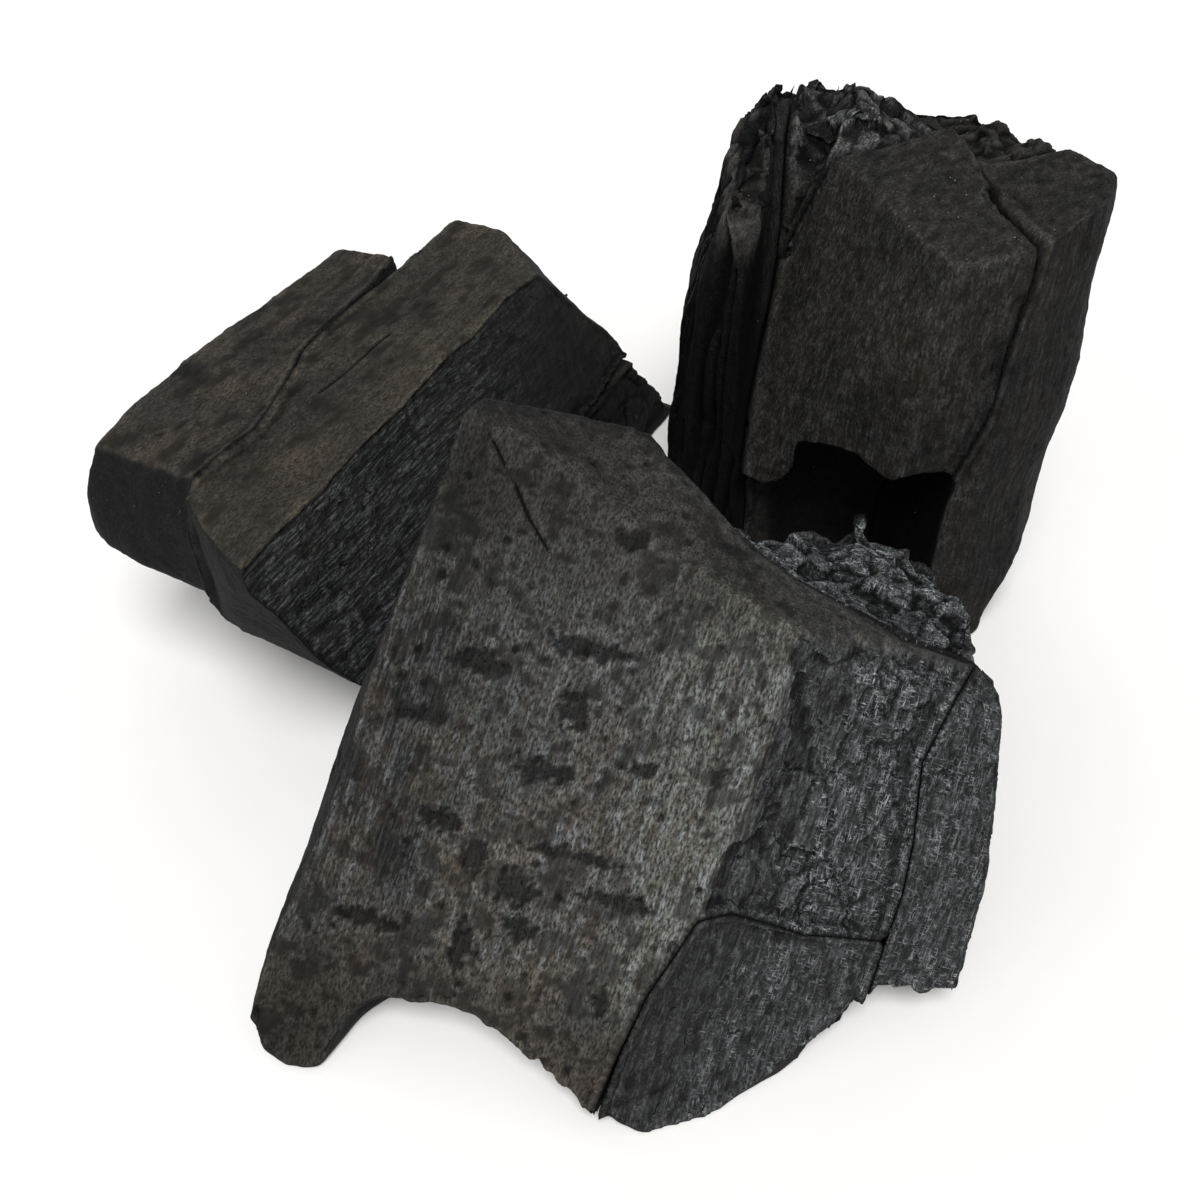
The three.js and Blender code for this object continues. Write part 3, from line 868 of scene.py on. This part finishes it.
def leaning_finish(skin, seed):
    """A weathered broad face, a silvery face split beside it with painted sheen, and a fine matt crest;
    faces turned away from the front and up get painted shade.
    """
    x, y = skin.places.T[:2]
    ragged = layered(skin.grain / 3, seed + 3, 3, 0.6) - 0.5
    beside = ramp(along_path(skin.places, ARRIS) + 3 * ragged, -1.2, 1.2)
    crest = ramp(along_path(skin.places, CREST) + 3 * ragged, 0.8, -1.4)
    front = skin.faces((0.2, 0.1, 1), 0.62, 0.85)
    broad = front * (1 - beside) * (1 - crest)
    turned = front * beside * (1 - crest)
    upper = np.maximum(front, skin.faces((0.3, 0.6, 0.7), 0.45, 0.75))
    left_strip = ramp(x + 9 * ragged, -24, -33) * ramp(y, 66, 50) * ramp(y, 12, 26)
    mid = ramp(y, 2, 20) * ramp(y, 74, 52)
    band = ramp(x + 4 * ragged, -7, 1) * mid
    dark = smudges(skin, seed, 2.8, 2.4, 0.52, 0.64)
    near_arris = ramp(np.abs(along_path(skin.places, ARRIS) - 2), 9, 3)
    skin.masks["ash"] += broad * (0.95 - 0.85 * left_strip) + 0.12 * turned + 0.34 * crest * upper
    skin.masks["rust"] += broad * 0.4 * ramp(y, 60, 20)
    skin.masks["olive"] += broad * 0.42 * band
    skin.masks["streaks"] += broad * mid * (0.16 + 0.22 * band) + 0.1 * turned
    skin.masks["silver"] += 0.58 * turned * (1 - 0.8 * near_arris)
    skin.masks["brown"] += 0.6 * broad
    skin.masks["soot"] += broad * np.maximum(dark * 0.4, 0.7 * spots(skin, seed + 5, BROAD_MARKS))
    # Lighter across the middle and near the arris, darker to the left; faces turned away from the front and
    # up get painted shade.
    lighter_mid_darker_left = 0.1 * band + 0.4 * mid - 0.12 - 0.3 * ramp(x, -14, -32)
    skin.masks["shade"] += broad * lighter_mid_darker_left - 0.15 * (1 - upper)
    # Painted sheen: the split face beside the arris is lighter, less so near the arris; the crest is lighter
    # where it faces front or up.
    skin.masks["shade"] += turned * (0.5 - 0.3 * near_arris) + 0.6 * crest * upper
    skin.masks["craze"] += 0.9 * turned
    skin.masks["dust"] += 0.2 * front + 0.5 * crest
    return broad, turned


def leaning_lump_main_slab(skin):
    weather(skin, rounding=9, swell=0.5, ridge=0.7, pit=0.3, nick=0.8)
    broad, turned = leaning_finish(skin, 320)
    wander = 0.5 * (layered(skin.grain / 5, 333, 3) - 0.5)[:, None]
    _, gap, number = cells(skin.grain / (7, 12, 7) + wander, 334)
    plates = 0.7 * number + 0.3 * ramp(gap, 0.06, 0) + 0.4 * layered(skin.grain / 2.0, 337, 3)
    skin.sink(turned * plates + broad * 0.3 * skin.masks["soot"])
    ragged_foot(skin, 339, 3.5)
    slits(skin, BROAD_SLITS, 4)


def leaning_lump_corner_wedge(skin):
    weather(skin, rounding=8, swell=0.5, ridge=0.8, chip=0.7, pit=0.3, nick=0.8)
    leaning_finish(skin, 350)
    skin.masks["silver"] *= 0.75
    skin.masks["shade"] -= 0.35
    ragged_foot(skin, 355, 3.0)


def leaning_lump_edge_slab(skin):
    weather(skin, rounding=8, swell=0.5, ridge=1.0, chip=0.5, nick=0.8)
    leaning_finish(skin, 370)
    skin.masks["silver"] = np.maximum(skin.masks["silver"], 0.3 * skin.faces((0.9, 0, 0.4), 0.3, 0.7))
    skin.masks["shade"] -= 0.4
    ragged_foot(skin, 375, 3.0)


def leaning_lump_torn_back(skin):
    weather(skin, rounding=4, swell=0.8, ridge=1.0, chip=0.5)
    y = skin.places[:, 1]
    torn = skin.faces((0.2, 0.8, 0.5), 0.1, 0.5) * ramp(y, 50, 60)
    tear(skin, 390, torn, 3.8, 3.6, 0.9)
    # Painted sheen and a lighter tone on the torn faces, for their glinting fibre ends.
    skin.masks["silver"] += 0.62 * torn
    skin.masks["streaks"] += 0.1 * torn
    skin.masks["brown"] += 0.3 * (1 - torn)
    skin.masks["shade"] += torn - 0.1 * (1 - torn)
    skin.masks["craze"] += 0.7
    skin.masks["dust"] += 0.5
    skin.masks["shed"] += 0.3 * torn
    skin.masks["fray"] += 0.03 * torn


# Each section's shaper, record slot and material.
SECTIONS = {
    "lying_lump_block": (lying_lump_block, "weathered_char"),
    "lying_lump_back_strip": (lying_lump_back_strip, "weathered_char"),
    "lying_lump_lower_slab": (lying_lump_lower_slab, "broken_char"),
    "standing_lump_front_block": (standing_lump_front_block, "broken_char"),
    "standing_lump_right_slab": (standing_lump_right_slab, "broken_char"),
    "standing_lump_back_wall": (standing_lump_back_wall, "torn_char"),
    "standing_lump_splintered_side": (standing_lump_splintered_side, "torn_char"),
    "leaning_lump_main_slab": (leaning_lump_main_slab, "weathered_char"),
    "leaning_lump_corner_wedge": (leaning_lump_corner_wedge, "silvery_char"),
    "leaning_lump_edge_slab": (leaning_lump_edge_slab, "silvery_char"),
    "leaning_lump_torn_back": (leaning_lump_torn_back, "torn_char"),
}

# The material of each slot: name, gloss and relief.
SLOT_FINISH = {
    "weathered_char": ("Weathered hardwood char, burned in the open", 0.14, 1.0),
    "broken_char": ("Broken hardwood charcoal, matt", 0.08, 0.9),
    "silvery_char": ("Silvery hardwood char, split along the grain", 0.22, 1.2),
    "torn_char": ("Torn hardwood charcoal, end grain", 0.13, 1.3),
}


def char_of(body, slot):
    """The finish of a slot on one lump, made once."""
    title, gloss, relief = SLOT_FINISH[slot]
    name = f"{title} ({body.replace('_', ' ')})"
    return bpy.data.materials.get(name) or charred_wood(name, LUMPS[body], gloss, relief)


def make_lump(body):
    """All sections of one lump, shaped and finished."""
    step = bpy.context.scene.charcoal_sizes.step * 1
    for node in frame["record"]["behaviour"]["bodies"][body]:
        shape, slot = SECTIONS[node]
        skin = Skin(body, node, step)
        clean(skin)
        shape(skin)
        skin.finish(slot, char_of(body, slot))


# ---------- loose bits ----------


def strewing(name, long, fleck_faces):
    """A tree that strews small bits over a skin: round crumbs, or splinters laid along the fibres.

    The named mask says where they lie, and the inputs how many there are and how big they are.
    """
    tree = bpy.data.node_groups.new(name, "GeometryNodeTree")
    face = tree.interface
    face.new_socket("Skin", in_out="INPUT", socket_type="NodeSocketGeometry")
    face.new_socket("Bits per square metre", in_out="INPUT", socket_type="NodeSocketFloat")
    face.new_socket("Size", in_out="INPUT", socket_type="NodeSocketFloat")
    face.new_socket("Mask", in_out="INPUT", socket_type="NodeSocketString")
    face.new_socket("Fibres", in_out="INPUT", socket_type="NodeSocketVector")
    face.new_socket("Seed", in_out="INPUT", socket_type="NodeSocketInt")
    face.new_socket("Finish", in_out="INPUT", socket_type="NodeSocketMaterial")
    face.new_socket("Bits", in_out="OUTPUT", socket_type="NodeSocketGeometry")
    given = add(tree, "NodeGroupInput").outputs
    share = add(
        tree, "GeometryNodeInputNamedAttribute", {"Name": given["Mask"]}, data_type="FLOAT"
    ).outputs[0]
    density = add(
        tree, "ShaderNodeMath", {0: share, 1: given["Bits per square metre"]}, operation="MULTIPLY"
    ).outputs[0]
    spots_at = add(
        tree,
        "GeometryNodeDistributePointsOnFaces",
        {"Mesh": given["Skin"], "Density": density, "Seed": given["Seed"]},
    )
    if long:
        bit = add(
            tree,
            "GeometryNodeMeshCone",
            {"Vertices": 5, "Side Segments": 2, "Radius Top": 0.12, "Radius Bottom": 0.5, "Depth": 1.0},
        ).outputs["Mesh"]
        low, high = (0.2, 0.2, 0.7), (0.5, 0.5, long)
        tilt = add(
            tree,
            "FunctionNodeRandomValue",
            {"Min": (-0.35, -0.35, -0.35), "Max": (0.35, 0.35, 0.35), "Seed": 5},
            data_type="FLOAT_VECTOR",
        ).outputs[0]
        aim = add(tree, "ShaderNodeVectorMath", {0: given["Fibres"], 1: tilt}, operation="ADD").outputs[0]
        turn = add(tree, "FunctionNodeAlignRotationToVector", {"Vector": aim}, axis="Z").outputs[0]
    else:
        bit = add(
            tree, "GeometryNodeMeshIcoSphere", {"Radius": 0.5, "Subdivisions": fleck_faces}
        ).outputs["Mesh"]
        rough = add(tree, "ShaderNodeTexNoise", {"Scale": 1.7, "Detail": 1.0}).outputs["Color"]
        rough = add(
            tree,
            "ShaderNodeVectorMath",
            {0: rough, 1: (0.9, 0.9, 0.9), 2: (-0.45, -0.45, -0.45)},
            operation="MULTIPLY_ADD",
        ).outputs[0]
        bit = add(tree, "GeometryNodeSetPosition", {"Geometry": bit, "Offset": rough}).outputs[0]
        low, high = (0.4, 0.4, 0.3), (1.5, 1.3, 1.0)
        turn = add(
            tree,
            "FunctionNodeRandomValue",
            {"Max": (math.tau, math.tau, math.tau), "Seed": 6},
            data_type="FLOAT_VECTOR",
        ).outputs[0]
    size = add(
        tree, "FunctionNodeRandomValue", {"Min": low, "Max": high, "Seed": 7}, data_type="FLOAT_VECTOR"
    ).outputs[0]
    size = add(
        tree, "ShaderNodeVectorMath", {0: size, "Scale": given["Size"]}, operation="SCALE"
    ).outputs[0]
    placed = add(
        tree,
        "GeometryNodeInstanceOnPoints",
        {"Points": spots_at.outputs["Points"], "Instance": bit, "Rotation": turn, "Scale": size},
    ).outputs[0]
    real = add(tree, "GeometryNodeRealizeInstances", {"Geometry": placed}).outputs[0]
    coated = add(
        tree, "GeometryNodeSetMaterial", {"Geometry": real, "Material": given["Finish"]}
    ).outputs[0]
    add(tree, "NodeGroupOutput", {"Bits": coated})
    return tree


def strew(body, label, tree, inputs):
    """Strews one kind of bit over all of a lump's skins, as one plain mesh that rides on its body."""
    sockets = {item.name: item.identifier for item in tree.interface.items_tree if item.in_out == "INPUT"}
    gathered = bmesh.new()
    for number, node in enumerate(frame["record"]["behaviour"]["bodies"][body]):
        under = bpy.data.objects.new("under", bpy.data.objects[node + "_char"].data)
        bpy.context.scene.collection.objects.link(under)
        spread = under.modifiers.new("Strewn", "NODES")
        spread.node_group = tree
        for name, value in inputs.items():
            spread[sockets[name]] = value
        spread[sockets["Seed"]] = 11 + number
        bits = bpy.data.meshes.new_from_object(under.evaluated_get(bpy.context.evaluated_depsgraph_get()))
        under.modifiers.remove(spread)
        bpy.data.objects.remove(under)
        gathered.from_mesh(bits)
    bmesh.ops.recalc_face_normals(gathered, faces=gathered.faces)
    for vertex in gathered.verts:
        vertex.co.z = max(vertex.co.z, 0)
    mesh = bpy.data.meshes.new(f"{body}_{label}")
    gathered.to_mesh(mesh)
    gathered.free()
    if not mesh.vertices:
        raise RuntimeError(f"no {label} on {body}")
    mesh.materials.append(inputs["Finish"])
    piece = bpy.data.objects.new(f"{body}_{label}", mesh)
    bpy.context.scene.collection.objects.link(piece)
    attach(piece, body)
    return piece


def plain_bits(name, paint, roughness):
    """Loose bits of char or ash: one dull colour with a faint mottle, as each bit is only a few grains."""
    material = bpy.data.materials.new(name)
    material.use_nodes = True
    tree = material.node_tree
    tree.nodes.clear()
    spot = add(tree, "ShaderNodeTexCoord").outputs["Object"]
    mottle = add(tree, "ShaderNodeTexNoise", {"Vector": spot, "Scale": 900.0, "Detail": 2.0}).outputs[0]
    tone = add(tree, "ShaderNodeMapRange", {0: mottle, 1: 0.35, 2: 0.65, 3: 0.45, 4: 1.5}).outputs[0]
    colour = add(tree, "ShaderNodeVectorMath", {0: paint, "Scale": tone}, operation="SCALE").outputs[0]
    shader = add(
        tree,
        "ShaderNodeBsdfPrincipled",
        {"Base Color": colour, "Roughness": roughness, "Specular IOR Level": 0.25},
    )
    add(tree, "ShaderNodeOutputMaterial", {"Surface": shader.outputs[0]})
    return material


# ---------- the stage ----------


def make_floor():
    """A sheet of matt white card, larger than any view of the heap."""
    mesh = bpy.data.meshes.new("card_floor")
    reach = 4.0
    mesh.from_pydata(
        [(-reach, -reach, -1e-4), (reach, -reach, -1e-4), (reach, reach, -1e-4), (-reach, reach, -1e-4)],
        [],
        [(0, 1, 2, 3)],
    )
    floor = bpy.data.objects.new("card_floor", mesh)
    bpy.context.scene.collection.objects.link(floor)
    material = bpy.data.materials.new("White card, matt")
    material.use_nodes = True
    tree = material.node_tree
    tree.nodes.clear()
    spot = add(tree, "ShaderNodeTexCoord").outputs["Object"]
    mottle = add(tree, "ShaderNodeTexNoise", {"Vector": spot, "Scale": 60.0, "Detail": 3.0}).outputs[0]
    tone = add(tree, "ShaderNodeMapRange", {0: mottle, 3: 0.97, 4: 1.0}).outputs[0]
    colour = add(
        tree, "ShaderNodeVectorMath", {0: linear("#EFEEEC"), "Scale": tone}, operation="SCALE"
    ).outputs[0]
    shader = add(
        tree,
        "ShaderNodeBsdfPrincipled",
        {"Base Color": colour, "Roughness": 0.95, "Specular IOR Level": 0.1},
    )
    add(tree, "ShaderNodeOutputMaterial", {"Surface": shader.outputs[0]})
    mesh.materials.append(material)


def make_sun(name, origin, strength, spread):
    """A very wide soft box, far enough off to light the floor evenly."""
    data = bpy.data.lights.new(name, "SUN")
    data.energy, data.angle = strength, math.radians(spread)
    lamp = bpy.data.objects.new(name, data)
    lamp.rotation_euler = (-Vector(origin)).to_track_quat("-Z", "Y").to_euler()
    bpy.context.scene.collection.objects.link(lamp)


def make_camera():
    """Looks down at the heap at 45 degrees, from 210 mm."""
    data = bpy.data.cameras.new("camera")
    data.lens, data.sensor_width = 45, 36
    data.clip_start, data.clip_end = 0.005, 20
    camera = bpy.data.objects.new("camera", data)
    slope = math.radians(45)
    target, away = Vector((0.00268, -0.01462, 0.030)), 0.210
    camera.location = target + away * Vector((0, -math.cos(slope), math.sin(slope)))
    camera.rotation_euler = (math.pi / 2 - slope, 0, 0)
    bpy.context.scene.collection.objects.link(camera)
    bpy.context.scene.camera = camera


# ---------- operators ----------


class CHARCOAL_OT_lying_lump(bpy.types.Operator):
    """Makes the lump that lies on its side, under a soft brown film."""

    bl_idname = "charcoal.lying_lump"
    bl_label = "Lying lump"

    def execute(self, context):
        make_lump("lying_lump")
        return {"FINISHED"}


class CHARCOAL_OT_standing_lump(bpy.types.Operator):
    """Makes the lump that stands on end, split, with a torn top."""

    bl_idname = "charcoal.standing_lump"
    bl_label = "Standing lump"

    def execute(self, context):
        make_lump("standing_lump")
        return {"FINISHED"}


class CHARCOAL_OT_leaning_lump(bpy.types.Operator):
    """Makes the lump that leans back, with its broad weathered face to the front."""

    bl_idname = "charcoal.leaning_lump"
    bl_label = "Leaning lump"

    def execute(self, context):
        make_lump("leaning_lump")
        return {"FINISHED"}


class CHARCOAL_OT_loose_bits(bpy.types.Operator):
    """Strews crumbs of char, specks of ash dust and splinters over the lumps."""

    bl_idname = "charcoal.loose_bits"
    bl_label = "Crumbs, dust and splinters"

    def execute(self, context):
        sizes, finish = context.scene.charcoal_sizes, context.scene.charcoal_finish
        char = plain_bits("Crumbled charcoal", finish.carbon, 0.8)
        ash = plain_bits("Wood ash dust", finish.dust, 0.95)
        crumbs, dust = strewing("Crumbs", 0, 2), strewing("Dust", 0, 1)
        splinters = strewing("Splinters", 2.6, 1)
        for body, lump in LUMPS.items():
            along = tuple(lump.fibres[1])
            many = {"Bits per square metre": 16000.0, "Size": sizes.crumb, "Mask": "shed", "Finish": char}
            strew(body, "crumbs", crumbs, many)
            many = {"Bits per square metre": 30000.0, "Size": sizes.fleck, "Mask": "dust", "Finish": ash}
            strew(body, "dust", dust, many)
            if body != "lying_lump":
                many = {
                    "Bits per square metre": 22000.0,
                    "Size": sizes.crumb * 0.8,
                    "Mask": "fray",
                    "Fibres": along,
                    "Finish": char,
                }
                strew(body, "splinters", splinters, many)
        return {"FINISHED"}


class CHARCOAL_OT_stage(bpy.types.Operator):
    """Sets out the floor, the soft lights and the camera."""

    bl_idname = "charcoal.stage"
    bl_label = "Floor, lights and camera"

    def execute(self, context):
        make_floor()
        make_sun("key", (0.0, -0.5, 1.0), 2.7, 28)
        make_sun("fill", (-0.6, -0.8, 0.6), 0.55, 60)
        make_sun("back light", (-0.3, 0.9, 0.5), 0.45, 60)
        world = bpy.data.worlds.new("studio")
        world.use_nodes = True
        world.node_tree.nodes.clear()
        seen = add(world.node_tree, "ShaderNodeLightPath").outputs["Is Camera Ray"]
        strength = add(world.node_tree, "ShaderNodeMapRange", {0: seen, 3: 0.35, 4: 1.0}).outputs[0]
        glow = add(world.node_tree, "ShaderNodeBackground", {"Color": (1, 1, 1, 1), "Strength": strength})
        add(world.node_tree, "ShaderNodeOutputWorld", {"Surface": glow.outputs[0]})
        context.scene.world = world
        context.scene.view_settings.view_transform = "Standard"
        make_camera()
        return {"FINISHED"}


class CHARCOAL_PT_panel(bpy.types.Panel):
    """Lists the steps that build the heap, with its sizes and colours."""

    bl_idname = "CHARCOAL_PT_panel"
    bl_label = "Lump charcoal"
    bl_space_type = "VIEW_3D"
    bl_region_type = "UI"
    bl_category = "Charcoal"

    def draw(self, context):
        for step in STEPS:
            self.layout.operator(step.bl_idname)
        for group in (context.scene.charcoal_sizes, context.scene.charcoal_finish):
            box = self.layout.box()
            for name in type(group).__annotations__:
                box.prop(group, name)


STEPS = (
    CHARCOAL_OT_lying_lump,
    CHARCOAL_OT_standing_lump,
    CHARCOAL_OT_leaning_lump,
    CHARCOAL_OT_loose_bits,
    CHARCOAL_OT_stage,
)
CLASSES = (CharcoalFinish, CharcoalSizes, *STEPS, CHARCOAL_PT_panel)


def register():
    for item in CLASSES:
        bpy.utils.register_class(item)
    bpy.types.Scene.charcoal_finish = bpy.props.PointerProperty(type=CharcoalFinish)
    bpy.types.Scene.charcoal_sizes = bpy.props.PointerProperty(type=CharcoalSizes)


def unregister():
    del bpy.types.Scene.charcoal_sizes
    del bpy.types.Scene.charcoal_finish
    for item in reversed(CLASSES):
        bpy.utils.unregister_class(item)


def main():
    register()
    for step in STEPS:
        group, name = step.bl_idname.split(".")
        getattr(getattr(bpy.ops, group), name)()


if __name__ == "__main__":
    main()
